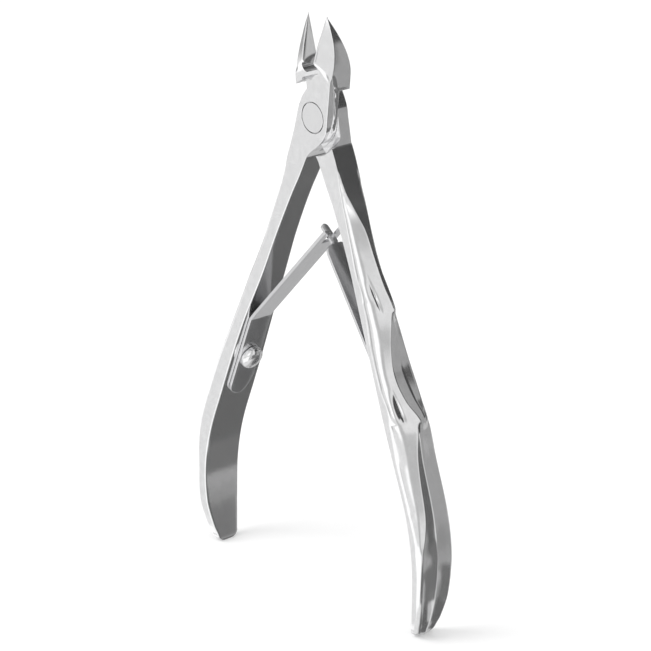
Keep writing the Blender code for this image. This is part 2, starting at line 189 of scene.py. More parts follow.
# Outer side of the handles, in three finger lengths. Each row: height, where the front facet ends, where the
# rear facet begins, width of the flat beside it, how far out each of the two stands, the hollow between
FINGERS = (
    (
        (-8.0, -2.30, 1.9, 0.0, 0.00, 0.00, 0.00),
        (-10.0, -2.25, 1.9, 0.0, 0.10, 0.10, 0.00),
        (-12.0, -2.15, 1.8, 0.0, 0.26, 0.26, 0.00),
        (-14.0, -1.60, 1.7, 0.0, 0.48, 0.48, 0.00),
        (-17.0, -0.60, 1.7, 0.0, 0.70, 0.70, 0.00),
        (-19.5, 0.20, 1.6, 0.0, 0.84, 0.84, 0.00),
        (-25.0, 0.85, 1.5, 0.1, 0.92, 0.92, 0.00),
        (-29.5, 1.20, 1.9, 0.2, 1.05, 1.05, 0.00),
        (-32.5, 1.70, 2.1, 0.2, 1.25, 1.20, 0.00),
        (-35.5, 2.00, 2.2, 0.0, 1.20, 1.10, 0.00),
    ),
    (
        (-33.0, 1.20, 1.3, 0.0, 1.05, 1.05, 0.00),
        (-35.0, 0.75, 1.1, 0.1, 0.95, 0.92, 0.00),
        (-37.0, 0.00, 1.2, 0.2, 0.84, 0.66, 0.00),
        (-40.0, -0.70, 1.2, 0.3, 0.62, 0.36, 0.00),
        (-45.0, -1.20, 1.2, 0.4, 0.48, 0.16, 0.00),
        (-49.0, -0.50, 1.7, 0.5, 0.74, 0.34, 0.00),
        (-52.0, 1.00, 2.3, 0.4, 1.12, 0.90, 0.00),
        (-54.5, 1.80, 2.5, 0.1, 1.10, 0.90, 0.00),
    ),
    (
        (-52.5, 0.40, 0.6, 0.1, 1.08, 1.10, 0.00),
        (-54.5, -0.30, 0.2, 0.3, 0.98, 1.06, 0.00),
        (-58.0, -1.05, 0.0, 0.5, 0.78, 0.90, 0.00),
        (-63.0, -1.60, 0.0, 0.5, 0.57, 0.73, 0.00),
        (-70.0, -2.10, 0.0, 0.5, 0.38, 0.57, 0.02),
        (-73.5, -2.75, 0.0, 0.4, 0.22, 0.46, 0.06),
        (-76.0, -3.50, 0.0, 0.3, 0.08, 0.33, 0.05),
        (-80.0, -3.70, 0.0, 0.2, 0.03, 0.21, 0.14),
        (-86.0, -3.50, 0.0, 0.1, 0.02, 0.16, 0.28),
        (-91.0, -2.70, 0.0, 0.1, 0.01, 0.10, 0.16),
        (-93.0, -2.20, 0.0, 0.1, 0.01, 0.08, 0.08),
    ),
)
STEEPEST = 0.5
CREST_WIDTH = 0.12
CREST = 0.05
RIDGE_ROUND = 0.1
KNUCKLES = (-34.3, -53.4)
KNUCKLE_BLEND = 1.3
# The left handle's outer side is fuller along its front edge and nearly flat
LEFT_FULLER = (
    (-8.0, 0.0), (-15.5, 0.1), (-20.0, 0.25), (-26.0, 0.4), (-35.0, 0.45), (-43.0, 0.9), (-48.0, 0.8),
    (-54.0, 0.62), (-60.0, 1.25), (-65.0, 1.5), (-70.0, 1.15), (-78.0, 0.095), (-86.0, 0.5), (-93.0, 0.3),
)
LEFT_FACETS = 0.3
# Hollows in the front facet: height and y of the top, of the bottom, half width and depth
SLITS = ((-26.0, -1.45, -34.0, -0.55, 0.34, 0.15), (-46.0, -2.45, -53.0, -1.8, 0.36, 0.17))

# Points of a ring: inner side, its front corner, front, next corner, outer side in three stretches, and so on
INNER_POINTS = 14
FRONT_POINTS = 12
FACET_POINTS = 14
HOLLOW_POINTS = 26
REAR_POINTS = 22
OUTER_POINTS = FACET_POINTS + HOLLOW_POINTS + REAR_POINTS
BACK_POINTS = 10
CORNER_POINTS = 5
BEND_POINTS = CORNER_POINTS + 3

# Rings of a half: how far apart they stand, and how many make the rounded end and the jaw
HANDLE_STEP = 0.3
KNUCKLE_STEP = 0.16
KNUCKLE_REACH = 3.0
PLATE_STEP = 0.2
END_RINGS = 12
END_TRIM = 0.004
JAW_RINGS = 90
TIP_CROWDING = 0.9

# Springs
LEAF = 0.6
LEAF_GAP = 0.06
LEAF_HALF_WIDTH = 2.65
FOOT_END = -61.5
FOOT_FRONT_ROUND = 2.6
FOOT_BACK_ROUND = 5.0
FLEX = (16.6, -42.9)
FORK_TIP = (3.4, -21.15)
SHOULDER = (3.6, -23.7)
TONGUE_TIP = (0.2, -20.9)
FORK_SLOT = 1.05
TONGUE = 0.75
SLOT_LENGTH = 4.2
SHOULDER_ROUND = 1.8
SHOULDER_TOP = 1.15
BEND_ROUND = 0.9
FORK_TIP_NARROWING = 0.35
FORK_TIP_LENGTH = 0.5
LEAF_EDGE_ROUND = 0.14
LEAF_STEP = 0.5
FOOT_STEPS = 30
BEND_STEPS = 8
ARM_STEPS = 60
TONGUE_STEPS = 24

# Spring screws
SCREW_HEIGHT = -52.7
SCREW_HEAD_RADIUS = 2.38
SCREW_HEAD = 1.85
SCREW_SHANK_RADIUS = 1.0
SCREW_LENGTH = 2.3
SCREW_SLOT = 0.5
SCREW_SLOT_DEPTH = 0.75
SCREW_SLOT_TURN = math.radians(62)
SCREW_DOME = 1.2
SCREW_DOME_RINGS = 20
SCREW_RIM = 0.2


# Curves


def smooth_through(rows, at):
    """The columns of the rows at one place, on a smooth curve through them. The rows run up or down."""
    falling = rows[0][0] > rows[-1][0]
    last = len(rows) - 2
    i = last
    for k in range(last + 1):
        if (at >= rows[k + 1][0]) if falling else (at <= rows[k + 1][0]):
            i = k
            break
    before, low, high, after = (rows[min(max(k, 0), len(rows) - 1)] for k in (i - 1, i, i + 1, i + 2))
    span = high[0] - low[0]
    t = min(max((at - low[0]) / span, 0), 1)
    values = []
    for column in range(1, len(low)):
        start = (high[column] - before[column]) / (high[0] - before[0]) * span
        end = (after[column] - low[column]) / (after[0] - low[0]) * span
        jump = high[column] - low[column]
        square, cube = 3 * jump - 2 * start - end, start + end - 2 * jump
        values.append(low[column] + start * t + square * t**2 + cube * t**3)
    return values


def smoothstep(low, high, at):
    t = min(max((at - low) / (high - low), 0), 1)
    return t * t * (3 - 2 * t)


def between(a, b, count):
    """Points from a to b, leaving out both ends."""
    return [tuple(p + (q - p) * (k + 1) / (count + 1) for p, q in zip(a, b)) for k in range(count)]


def corner(before, at, after, radius, count=CORNER_POINTS):
    """A rounded corner: points of a smooth curve from one side to the other, cutting the corner off."""
    at, before, after = Vector(at), Vector(before), Vector(after)
    start = at + (before - at).normalized() * min(radius, (before - at).length * 0.45)
    end = at + (after - at).normalized() * min(radius, (after - at).length * 0.45)
    points = []
    for k in range(count):
        t = k / (count - 1)
        points.append(tuple(start * (1 - t) ** 2 + at * 2 * t * (1 - t) + end * t**2))
    return points


def bend(start, at, end, count=BEND_POINTS):
    """A smooth curve from start, heading for a corner and then for the end, without the end itself."""
    start, at, end = Vector(start), Vector(at), Vector(end)
    steps = [k / count for k in range(count)]
    return [tuple(start * (1 - t) ** 2 + at * 2 * t * (1 - t) + end * t**2) for t in steps]


def opened(across, up, angle=OPEN_ANGLE):
    """A point of the closed right jaw, turned to where the open jaw holds it."""
    return across * math.cos(angle) + up * math.sin(angle), up * math.cos(angle) - across * math.sin(angle)


# Meshes


def new_object(name, bm):
    """An object from a mesh in millimetres in the row frame."""
    bmesh.ops.remove_doubles(bm, verts=bm.verts, dist=SAME_POINT)
    bmesh.ops.recalc_face_normals(bm, faces=bm.faces)
    bmesh.ops.scale(bm, verts=bm.verts, vec=(MM, MM, MM))
    mesh = bpy.data.meshes.new(name)
    bm.to_mesh(mesh)
    bm.free()
    obj = bpy.data.objects.new(name, mesh)
    bpy.context.scene.collection.objects.link(obj)
    return obj


def loft(name, rings):
    """A closed body through rings of points that all have the same count."""
    bm = bmesh.new()
    rows = [[bm.verts.new(p) for p in ring] for ring in rings]
    for low, high in zip(rows, rows[1:]):
        for k in range(len(low)):
            n = (k + 1) % len(low)
            bm.faces.new((low[k], low[n], high[n], high[k]))
    bm.faces.new(rows[0])
    bm.faces.new(rows[-1])
    return new_object(name, bm)


def turned(name, profile, steps=96):
    """A profile of radius and height, turned about Z."""
    angles = [2 * math.pi * k / steps for k in range(steps)]
    return loft(name, [[(r * math.cos(a), r * math.sin(a), h) for a in angles] for r, h in profile])


def about_pivot(obj):
    """Turns a body made along Z so that it lies along the pivot, with its own Z towards the front."""
    obj.matrix_world = Matrix.Translation((0, MIDDLE_Y * MM, 0)) @ Matrix.Rotation(math.radians(90), 4, "X")
    return obj


def cut(target, *cutters):
    """Cuts each body out of the target and removes it."""
    for cutter in cutters:
        modifier = target.modifiers.new(cutter.name, "BOOLEAN")
        modifier.operation = "DIFFERENCE"
        modifier.solver = "EXACT"
        modifier.object = cutter
    settle(target)
    for cutter in cutters:
        bpy.data.objects.remove(cutter)


def settle(obj):
    """Applies the object's modifiers and place to its mesh."""
    graph = bpy.context.evaluated_depsgraph_get()
    mesh = bpy.data.meshes.new_from_object(obj.evaluated_get(graph), depsgraph=graph)
    mesh.transform(obj.matrix_world)
    obj.modifiers.clear()
    obj.data = mesh
    obj.matrix_world = Matrix.Identity(4)
    return obj


def finish(obj, material, node, angle=34):
    """Smooth shading, the material, and the CAD node that the piece stands for."""
    obj.data.materials.clear()
    obj.data.materials.append(material)
    obj.data.shade_smooth()
    obj.data.set_sharp_from_angle(angle=math.radians(angle))
    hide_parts(node)
    return obj


# Handles


def slit_depth(y, z):
    """The lens-shaped hollows in the front facet, one above each knuckle."""
    depth = 0.0
    for top, y_top, bottom, y_bottom, half_width, deepest in SLITS:
        share = (top - z) / (top - bottom)
        if not 0 < share < 1:
            continue
        swell = math.sin(math.pi * share**1.7)
        middle = y_top + (y_bottom - y_top) * share**1.15
        off = abs(y - middle) / (half_width * math.sqrt(swell) + 0.001)
        if off < 1:
            depth += deepest * swell * (1 - off**2) ** 1.5
    return depth


def finger_outline(finger, low_y, high_y, z):
    """The lines of one finger length at a height, kept inside the handle's depth."""
    front, rear, flat, front_height, rear_height, hollow = smooth_through(FINGERS[finger], z)
    front = min(max(front, low_y + 0.05), high_y - 0.15)
    rear = min(max(rear, front + 0.05), high_y - 0.1)
    flat = min(max(flat, 0.01), high_y - rear - 0.05)
    crest = CREST * smoothstep(KNUCKLES[1], KNUCKLES[1] - 4, z) if finger == 2 else 0
    return front, rear, flat, front_height, rear_height, hollow, crest


def facet_height(y, outline, low_y, high_y):
    """How far the outer side stands out at y: front facet, hollow, a narrow flat and the rear facet."""
    front, rear, flat, front_height, rear_height, hollow, _ = outline
    if y <= front:
        return front_height * max(y - low_y, 0) / (front - low_y)
    if y <= rear:
        t = (y - front) / (rear - front)
        return front_height + (rear_height - front_height) * t - hollow * math.sin(math.pi * t)
    if y <= rear + flat:
        return rear_height
    t = min((high_y - y) / (high_y - rear - flat), 1)
    return rear_height * max(t, 0) - 0.5 * hollow * math.sin(math.pi * max(t, 0))


def outer_height(y, outline, low_y, high_y):
    """The facets with their ridges rounded, and the fine crest line of the lowest finger length."""
    rounded = sum(facet_height(y + k * RIDGE_ROUND, outline, low_y, high_y) for k in (-1, 0, 0, 1)) / 4
    return rounded + outline[-1] * max(1 - abs(y - outline[1]) / CREST_WIDTH, 0)


def finger_shares(z):
    """Which finger lengths a height belongs to, with each one's share."""
    finger = sum(z < knuckle for knuckle in KNUCKLES)
    for k, knuckle in enumerate(KNUCKLES):
        if abs(z - knuckle) < KNUCKLE_BLEND:
            below = smoothstep(knuckle + KNUCKLE_BLEND, knuckle - KNUCKLE_BLEND, z)
            return ((k, 1 - below), (k + 1, below))
    return ((finger, 1.0),)


def outer_side(outer, lean, low_y, high_y, z, facets):
    """Points of the handle's outer side at one height, from front to back."""
    shares = finger_shares(z)
    outlines = [(finger_outline(finger, low_y, high_y, z), share) for finger, share in shares]
    front = sum(outline[0] * share for outline, share in outlines)
    rear = sum(outline[1] * share for outline, share in outlines)
    ys = [low_y + (front - low_y) * (k + 1) / (FACET_POINTS + 1) for k in range(FACET_POINTS)]
    ys += [front + (rear - front) * k / HOLLOW_POINTS for k in range(HOLLOW_POINTS)]
    ys += [rear + (high_y - rear) * k / REAR_POINTS for k in range(REAR_POINTS)]
    points = []
    for y in ys:
        height = sum(outer_height(y, outline, low_y, high_y) * share for outline, share in outlines)
        points.append((outer + lean * y / high_y + facets * (height - slit_depth(y, z)), y))
    return points


def towards_face(edge, further, y):
    """Where the line through two points of the outer side meets the front or back face."""
    slope = (edge[0] - further[0]) / (edge[1] - further[1])
    slope = min(max(slope, -STEEPEST), STEEPEST)
    return edge[0] + slope * (y - edge[1])


def end_share(z):
    """How much of the section is left in the rounded end of the handle."""
    into = (HANDLE_END + END_ROUNDING - z) / END_ROUNDING
    return math.sqrt(max(1 - into**2, 0)) if into > 0 else 1.0


def handle_section(z, side):
    """The section of a handle at one height, as distance outwards and y from the middle plane."""
    inner, outer, half = smooth_through(HANDLE, z)
    if side < 0:
        outer += smooth_through(LEFT_FULLER, z)[0]
    if z < HANDLE[-1][0]:
        share = end_share(z)
        drift = END_DRIFT * (HANDLE[-1][0] - z)
        middle, thick = (inner + outer) / 2 - drift, (outer - inner) / 2 * (0.4 + 0.6 * share)
        inner, outer = middle - thick, middle + thick
        half *= 0.15 + 0.85 * share
    below = smoothstep(HANDLE_TOP, HANDLE_TOP - 5, z)
    nick = min(SMALL_ROUND + INNER_ROUND * below, 0.2 * (outer - inner))
    front_round = SMALL_ROUND + FRONT_ROUND * below
    front_round += FRONT_ROUND_BELOW * smoothstep(-13.0, KNUCKLES[0] + 0.3, z)
    front_round -= FRONT_ROUND_LESS * smoothstep(-64.0, -77.0, z)
    front_round = min(front_round, 0.5 * (outer - inner), 0.4 * half)
    if side < 0:
        front_round *= LEFT_ROUND_SHARE
    back_round = min(SMALL_ROUND + BACK_ROUND * below, 0.4 * (outer - inner), 0.4 * half)
    lean = LEAN * max(1 - abs(z - LEAN_AT) / LEAN_REACH, 0) * smoothstep(HANDLE_TOP, HANDLE_TOP - 3, z)
    facets = LEFT_FACETS if side < 0 else 1
    outside = outer_side(outer, lean, -(half - front_round), half - back_round, z, facets)
    front_corner = (towards_face(outside[0], outside[2], -half), -half)
    back_corner = (towards_face(outside[-1], outside[-3], half), half)
    front_edge = (front_corner[0] - front_round, -half)
    points = between((inner, half - nick), (inner, -half + nick), INNER_POINTS)
    points += corner((inner, 0), (inner, -half), front_edge, nick)
    points += between((inner + nick, -half), front_edge, FRONT_POINTS)
    points += bend(front_edge, front_corner, outside[0])
    points += outside
    points += reversed(bend((back_corner[0] - back_round, half), back_corner, outside[-1]))
    points += between((back_corner[0] - back_round, half), (inner + nick, half), BACK_POINTS)
    points += corner(back_corner, (inner, half), (inner, 0), nick)
    return points


# Lap plates


def side_groove(y, z):
    """The shallow channel worn along the plate's side, a little nearer the seam at its ends."""
    reach = smoothstep(-4.0, -2.2, z) * (1 - smoothstep(GROOVE_TOP - 2, GROOVE_TOP, z))
    along = z - GROOVE_MIDDLE_HEIGHT
    off = abs(y + GROOVE_MIDDLE + GROOVE_LEAN * along + GROOVE_BOW * along**2)
    return GROOVE_DEPTH * reach * max(1 - off / GROOVE_HALF_WIDTH, 0) ** 1.5


def plate_outer(z, side):
    """The outer edge of the lap plate. The back half's has a sharp shoulder under its round rim."""
    if side < 0:
        return smooth_through(PLATE_OUTER, z)[0]
    return smooth_through(BACK_SHOULDER if z < SHOULDER_LINE else BACK_RIM, z)[0]


def plate_section(z, side):
    """The section of the lap plate at one height, in the right-hand handle's terms."""
    inner = smooth_through(PLATE_INNER, z)[0]
    outer = plate_outer(z, side)
    half, nick = LAP_HALF, SMALL_ROUND
    flat = half - nick
    points = [(inner + side_groove(y, z), y) for _, y in between((0, flat), (0, -flat), INNER_POINTS)]
    points += corner((inner, 0), (inner, -half), (outer, -half), nick)
    points += between((inner + nick, -half), (outer - nick, -half), FRONT_POINTS)
    points += bend((outer - nick, -half), (outer, -half), (outer, -flat))
    points += [(outer, -flat + 2 * flat * (k + 1) / (OUTER_POINTS + 1)) for k in range(OUTER_POINTS)]
    points += reversed(bend((outer - nick, half), (outer, half), (outer, flat)))
    points += between((outer - nick, half), (inner + nick, half), BACK_POINTS)
    points += corner((outer, half), (inner, half), (inner, 0), nick)
    return points


# Jaws


def jaw_front(share, up, edge, ridge):
    """How far the front of the jaw stands before the middle plane, a share of the way from edge to ridge."""
    keel = edge + (ridge - edge) * share
    foot = KEEL_FOOT + (KEEL_FOOT_OUTSIDE - KEEL_FOOT) * share
    if up >= foot:
        return keel
    down = min((foot - up) / (foot - COVE_FOOT), 1)
    return LAP_HALF + (keel - LAP_HALF) * (1 - down) ** 2


def jaw_section(up):
    """The section of the closed right jaw: distance from the middle plane of the closed jaws, and y."""
    from_tip = TIP - up
    edge = TIP_FORWARD + EDGE_SLOPE * from_tip - EDGE_CURVE * from_tip**2
    width = JAW_WIDTH * (1 - (max(up - JAW_WIDEST, 0) / (TIP + TIP_GAP - JAW_WIDEST)) ** JAW_TAPER)
    width += HEEL_WIDENING * max(JAW_WIDEST - up, 0)
    risen = (max(RIDGE_RISE_START - up, 0) / RIDGE_RISE) ** RISE_POWER
    ridge = min(RIDGE_FORWARD + (LAP_HALF - RIDGE_FORWARD) * risen, LAP_HALF)
    back = LAP_HALF - (LAP_HALF + TIP_FORWARD) * max(1 - from_tip / BACK_TAPER, 0) ** RISE_POWER
    back = max(back, TIP_THICKNESS - ridge)
    near = EDGE_LAND
    if up < TOOTH_DIAGONAL:
        near -= TOOTH_REACH * min((TOOTH_DIAGONAL - up) / (TOOTH_DIAGONAL - TOOTH_TOP), 1)
        near += TOOTH_LEAN * max(TOOTH_TOP - up, 0)
    far = EDGE_LAND + width
    small = min(JAW_ROUND, JAW_ROUND_SHARE * width)
    relief = RELIEF * smoothstep(NOTCH_CENTRE - RELIEF_REACH, NOTCH_CENTRE + RELIEF_REACH, up)
    ridge_point, back_far = (far, -jaw_front(1, up, edge, ridge)), (far, back)
    back_near = (near + (far - near) * RELIEF_AT_BACK * relief, back)
    nick = min(small, (far - small - back_near[0]) / (BACK_POINTS + 2))
    bevel = BEVEL_WIDTH * smoothstep(NOTCH_CENTRE, NOTCH_CENTRE + 1, up) * min(width / 1.5, 1)
    bevel_start = (near + bevel, -jaw_front(bevel / width, up, edge, ridge))
    edge_front = jaw_front(0, up, edge, ridge)
    edge_point = (near, -edge_front + BEVEL_DEPTH * bevel / BEVEL_WIDTH)

    outer = []
    for _, t in between((0, 0), (0, 1), INNER_POINTS):
        y = back + (ridge_point[1] - back) * t
        outer.append((far + OUTER_SWELL * width * math.sin(math.pi * t) - side_groove(y, up), y))
    front = []
    for _, t in between((0, 0), (0, 1), FRONT_POINTS):
        share = 1 + (bevel / width - 1) * t
        front.append((near + (far - near) * share, -jaw_front(share, up, edge, ridge)))
    inside = []
    for k in range(OUTER_POINTS):
        t = k / (OUTER_POINTS - 1)
        bulge = HOLLOW * 4 * t * (1 - t) * min(width / 2, 1) * relief
        x = edge_point[0] + (back_near[0] - edge_point[0]) * t + bulge
        inside.append((x, edge_point[1] + (back - nick - edge_point[1]) * t))
    points = outer
    points += corner((far, back), ridge_point, bevel_start, 0.5 * small)
    points += front
    points += between(bevel_start, edge_point, BEND_POINTS)
    points += inside
    points += corner(inside[-1], back_near, back_far, nick, BEND_POINTS)
    points += between(back_near, (far - small, back), BACK_POINTS)
    points += corner(back_near, back_far, (far, back - 1), small)
    return points


def place_ring(points, side, z=None, up=None):
    """Ring points in the row frame, for a section of the handle side (at z) or of the jaw (at up)."""
    ring = []
    for x, y in points:
        if up is None:
            ring.append(Vector((side * x, MIDDLE_Y + y, z)))
        else:
            across, height = opened(x, up)
            ring.append(Vector((-side * across, MIDDLE_Y + y, height)))
    return ring


def half_rings(side):
    """Every ring of one half, from the end of its handle to the tip of its jaw."""
    turns = [math.pi / 2 * k / END_RINGS for k in range(END_RINGS)]
    heights = [HANDLE_END + END_ROUNDING * (1 - math.cos(turn)) for turn in turns]
    heights[0] += END_TRIM
    z = HANDLE_END + END_ROUNDING
    while z < HANDLE_TOP:
        heights.append(z)
        near_knuckle = min(abs(z - knuckle) for knuckle in KNUCKLES) < KNUCKLE_REACH
        z += KNUCKLE_STEP if near_knuckle else HANDLE_STEP
    rings = [place_ring(handle_section(z, side), side, z=z) for z in heights]
    z = HANDLE_TOP
    while z < JAW_START:
        rings.append(place_ring(plate_section(z, side), side, z=z))
        z += PLATE_STEP
    for k in range(JAW_RINGS + 1):
        share = math.sin(math.pi / 2 * (k / JAW_RINGS) ** TIP_CROWDING)
        up = JAW_START + (TIP - TIP_GAP - JAW_START) * share
        jaw = place_ring(jaw_section(up), side, up=up)
        share = smoothstep(JAW_START - 0.1, JAW_FULL, up)
        if share < 1:
            plate = place_ring(plate_section(up, side), side, z=up)
            jaw = [p.lerp(q, share) for p, q in zip(plate, jaw)]
        rings.append(jaw)
    return rings


# Cutters


def scoop_radius(angle, side):
    """Where the recess meets its floor, at an angle about the pivot measured on the handle's side."""
    degrees = math.degrees(angle)
    if side < 0:
        degrees = 180 - degrees
    degrees = (degrees + 95) % 360 - 95
    for (a, low), (b, high) in zip(SHOULDER_SCOOP, SHOULDER_SCOOP[1:]):
        if a <= degrees <= b:
            return low + (high - low) * (degrees - a) / (b - a)
    return RECESS_RADIUS


def recess(name, side, to_front):
    """The round space that the other half's plate turns in, with a hollow shoulder under the handle."""
    steps, levels = 180, 10
    angles = [2 * math.pi * k / steps for k in range(steps)]
    floor = [scoop_radius(a, side) for a in angles]
    rings = []
    for k in range(levels + 1):
        turn = math.pi / 2 * k / levels
        depth = -SEAM + (LAP_HALF + SEAM) * (1 - math.cos(turn))
        rings.append([(f + (RECESS_RADIUS - f) * math.sin(turn), depth, a) for f, a in zip(floor, angles)])
    rings.append([(RECESS_RADIUS, LAP_HALF + OVERCUT, a) for a in angles])
    sign = -1 if to_front else 1

    def placed(radius, depth, angle):
        return (radius * math.cos(angle), MIDDLE_Y + sign * depth, radius * math.sin(angle))

    return loft(name, [[placed(*point) for point in ring] for ring in rings])


def jaw_clearance(name, side, to_front):
    """The slanted space under the heel of the jaw, where the other half's tooth closes."""
    top_x, top_z = opened(0, TOOTH_DIAGONAL + TOOTH_GAP)
    end_x, end_z = top_x + TOOTH_SLOPE[0], top_z - TOOTH_SLOPE[1]
    foot_z = RECESS_RADIUS - OVERCUT - 0.1
    outline = [(top_x, top_z), (end_x, end_z), (end_x, foot_z), (-OVERCUT, foot_z), (-OVERCUT, top_z)]
    sign = -1 if to_front else 1
    levels = (-SEAM + UNDER_FLUSH, LAP_HALF + OVERCUT)
    return loft(name, [[(-side * x, MIDDLE_Y + sign * d, z) for x, z in outline] for d in levels])


def notch(name, side):
    x, z = opened(0, NOTCH_CENTRE)
    reach = LAP_HALF + 2 * OVERCUT
    obj = turned(name, [(NOTCH_RADIUS, -reach), (NOTCH_RADIUS, reach)], 64)
    place = Matrix.Translation((-side * x * MM, 0, z * MM))
    obj.matrix_world = place @ Matrix.Rotation(math.radians(90), 4, "X")
    return obj


def rivet_hole(name):
    front = LAP_HALF
    narrow = PEEN_RADIUS + PEEN_GAP
    profile = [
        (narrow + PEEN_SINK, -front - 1),
        (narrow + PEEN_SINK, -front),
        (narrow, -front + PEEN_SINK),
        (narrow, front - RIVET_HEAD),
        (RIVET_HOLE, front - RIVET_HEAD),
        (RIVET_HOLE, front - RIVET_CHAMFER),
        (RIVET_HOLE + RIVET_CHAMFER, front),
        (RIVET_HOLE + RIVET_CHAMFER, front + 1),
    ]
    return about_pivot(turned(name, profile, 128))


def half(name, side, recess_in_front, material, body):
    obj = loft(name, half_rings(side))
    cut(
        obj,
        jaw_clearance(f"{name}_clearance", side, recess_in_front),
        notch(f"{name}_notch", side),
        rivet_hole(f"{name}_rivet_hole"),
        recess(f"{name}_recess", side, recess_in_front),
    )
    finish(obj, material, name)
    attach(obj, body)
    return obj


def rivet(material):
    front = LAP_HALF
    profile = [
        (PEEN_RADIUS - RIVET_CHAMFER, -front + END_TRIM),
        (PEEN_RADIUS, -front + PEEN_GAP),
        (PEEN_RADIUS, front - RIVET_HEAD - 0.05),
        (RIVET_RADIUS, front - RIVET_HEAD + 0.05),
        (RIVET_RADIUS, front - RIVET_CHAMFER),
        (RIVET_RADIUS - RIVET_CHAMFER, front - UNDER_FLUSH),
        (0.7 * RIVET_RADIUS, front - UNDER_FLUSH / 3),
        (0.3 * RIVET_RADIUS, front - UNDER_FLUSH / 6),
    ]
    obj = settle(about_pivot(turned("pivot_rivet_visual", profile, 128)))
    finish(obj, material, "pivot_rivet")
    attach(obj, "back_half_body")


# Springs


def inner_slope(z):
    """The inner edge of the right-hand handle at one height, and the way along it, downwards."""
    inner = smooth_through(HANDLE, z)[0]
    below = smooth_through(HANDLE, z - 1)[0]
    return inner, Vector((below - inner, 0, -1)).normalized()


def spring_line(side, end, extra=()):
    """The middle line of a spring, from the end of its foot round the bend to the end of its arm."""
    off = LEAF_GAP + LEAF / 2
    foot = []
    for k in range(FOOT_STEPS):
        z = FOOT_END + (FLEX[1] - BEND_ROUND - FOOT_END) * k / (FOOT_STEPS - 1)
        inner, down = inner_slope(z)
        foot.append(Vector((side * (inner + down.z * off), z - down.x * off)))
    flex = Vector((side * FLEX[0], FLEX[1]))
    end = Vector(end)
    bend_end = flex + (end - flex).normalized() * BEND_ROUND
    points = foot[:-1]
    for k in range(BEND_STEPS + 1):
        t = k / BEND_STEPS
        points.append(foot[-1] * (1 - t) ** 2 + flex * 2 * t * (1 - t) + bend_end * t**2)
    points += [bend_end.lerp(end, (k + 1) / ARM_STEPS) for k in range(ARM_STEPS)]
    points += [Vector(p) for p in extra]
    return points


def foot_share(done, rounding):
    return math.sqrt(max(1 - max(1 - done / rounding, 0) ** 2, 0.004))


def foot_edges(done):
    front = -LEAF_HALF_WIDTH * foot_share(done, FOOT_FRONT_ROUND)
    back = LEAF_HALF_WIDTH * foot_share(done, FOOT_BACK_ROUND)
    return front, back


def forked(done, total):
    front, back = foot_edges(done)
    left = total - done
    tip = FORK_TIP_NARROWING * (1 - min(left / FORK_TIP_LENGTH, 1)) ** 2
    return (front + tip, max(front * 0.4, -FORK_SLOT - tip), min(back * 0.4, FORK_SLOT + tip), back - tip)


def tongued(done, total):
    tongue_length = math.dist(SHOULDER, TONGUE_TIP)
    left = total - done
    if left < tongue_length - 0.01:
        half_width = TONGUE * math.sqrt(max(1 - max(1 - left / TONGUE, 0) ** 2, 0.02))
        return (None, -half_width, half_width, None)
    front, back = foot_edges(done)
    round_off = min(max(left - tongue_length, 0), SHOULDER_ROUND) / SHOULDER_ROUND
    shoulder = SHOULDER_TOP + (LEAF_HALF_WIDTH - SHOULDER_TOP) * math.sqrt(1 - (1 - round_off) ** 2)
    front, back = max(front, -shoulder), min(back, shoulder)
    return (front, max(front * 0.4, -TONGUE), min(back * 0.4, TONGUE), back)


def leaf(name, line, edges, material, node, slot_from=None):
    """A leaf of spring steel with rounded edges, along a line of x and z."""
    lengths = [0.0]
    for a, b in zip(line, line[1:]):
        lengths.append(lengths[-1] + (b - a).length)
    total = lengths[-1]
    bm = bmesh.new()
    rows = []
    for done, point in zip(lengths, line):
        lanes = edges(done, total)
        rows.append([None if y is None else bm.verts.new((point.x, MIDDLE_Y + y, point.y)) for y in lanes])
    for done, low, high in zip(lengths, rows, rows[1:]):
        for lane in range(len(low) - 1):
            corners = (low[lane], low[lane + 1], high[lane + 1], high[lane])
            in_slot = lane == 1 and slot_from is not None and done >= slot_from
            if None not in corners and not in_slot:
                bm.faces.new(corners)
    obj = new_object(name, bm)
    solid = obj.modifiers.new("thickness", "SOLIDIFY")
    solid.thickness = LEAF * MM
    solid.offset = 0
    solid.use_even_offset = True
    bevel = obj.modifiers.new("edges", "BEVEL")
    bevel.width = LEAF_EDGE_ROUND * MM
    bevel.segments = 3
    bevel.limit_method = "ANGLE"
    bevel.angle_limit = math.radians(55)
    settle(obj)
    return finish(obj, material, node)


def finer(line):
    """The same line with points no further apart than LEAF_STEP."""
    made = [line[0]]
    for a, b in zip(line, line[1:]):
        count = max(1, math.ceil((b - a).length / LEAF_STEP))
        made += [a.lerp(b, (k + 1) / count) for k in range(count)]
    return made


def springs(material):
    left_line = finer(spring_line(-1, FORK_TIP))
    length = sum((b - a).length for a, b in zip(left_line, left_line[1:]))
    left = leaf("left_spring_visual", left_line, forked, material, "left_spring", length - SLOT_LENGTH)
    tongue = between(SHOULDER, TONGUE_TIP, TONGUE_STEPS - 1) + [TONGUE_TIP]
    right_line = finer(spring_line(1, SHOULDER, tongue))
    right = leaf("right_spring_visual", right_line, tongued, material, "right_spring")
    for piece, body, arm_body, side, end in (
        (left, "front_half_body", "left_spring_arm", -1, FORK_TIP),
        (right, "back_half_body", "right_spring_arm", 1, SHOULDER),
    ):
        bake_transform(piece)


# Screws


